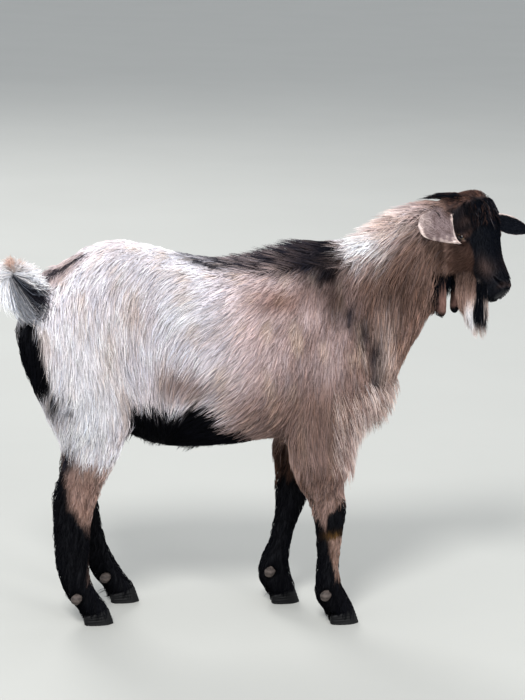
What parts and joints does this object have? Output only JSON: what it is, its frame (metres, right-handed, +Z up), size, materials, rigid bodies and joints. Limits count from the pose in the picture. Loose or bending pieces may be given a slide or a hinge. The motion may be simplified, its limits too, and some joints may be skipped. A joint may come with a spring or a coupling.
{
  "type": "goat",
  "caption": "Life-size still model of a hornless, bearded, shaggy buck goat standing with its head turned to its right.",
  "frame": {"origin": "on the floor, under the middle of the animal's box", "axes": "+X towards the chest along the body, +Y to the animal's left, +Z up"},
  "size_m": [1.1245, 0.2863, 0.8904],
  "materials": {
    "coat_pale": "long soft hair, white to pinkish grey",
    "coat_brown": "long hair, brown",
    "coat_dark": "hair, black to dark brown",
    "beard_hair": "long hair, brown, white and black locks",
    "ear_skin": "thin skin with short hair",
    "wattle_skin": "skin with short hair",
    "nose_leather": "bare dark skin",
    "eye": "wet, amber with a level slit",
    "hoof_horn": "dark horn with faint growth lines",
    "dewclaw_horn": "dull grey horn"
  },
  "bodies": {
    "root": {"beard": "beard_hair", "dewclaw_fore_left_inner": "dewclaw_horn", "dewclaw_fore_left_outer": "dewclaw_horn", "dewclaw_fore_right_inner": "dewclaw_horn", "dewclaw_fore_right_outer": "dewclaw_horn", "dewclaw_hind_left_inner": "dewclaw_horn", "dewclaw_hind_left_outer": "dewclaw_horn", "dewclaw_hind_right_inner": "dewclaw_horn", "dewclaw_hind_right_outer": "dewclaw_horn", "ear_left": "ear_skin", "ear_right": "ear_skin", "eye_left": "eye", "eye_right": "eye", "foreleg_lower_left": "coat_dark", "foreleg_lower_right": "coat_dark", "foreleg_upper_left": "coat_brown", "foreleg_upper_right": "coat_brown", "head": "coat_dark", "hindleg_lower_left": "coat_dark", "hindleg_lower_right": "coat_dark", "hindleg_upper_left": "coat_pale", "hindleg_upper_right": "coat_pale", "hoof_fore_left_inner": "hoof_horn", "hoof_fore_left_outer": "hoof_horn", "hoof_fore_right_inner": "hoof_horn", "hoof_fore_right_outer": "hoof_horn", "hoof_hind_left_inner": "hoof_horn", "hoof_hind_left_outer": "hoof_horn", "hoof_hind_right_inner": "hoof_horn", "hoof_hind_right_outer": "hoof_horn", "neck": "coat_brown", "tail": "coat_pale", "trunk": "coat_pale", "wattle_left": "wattle_skin", "wattle_right": "wattle_skin"}
  },
  "joints": []
}
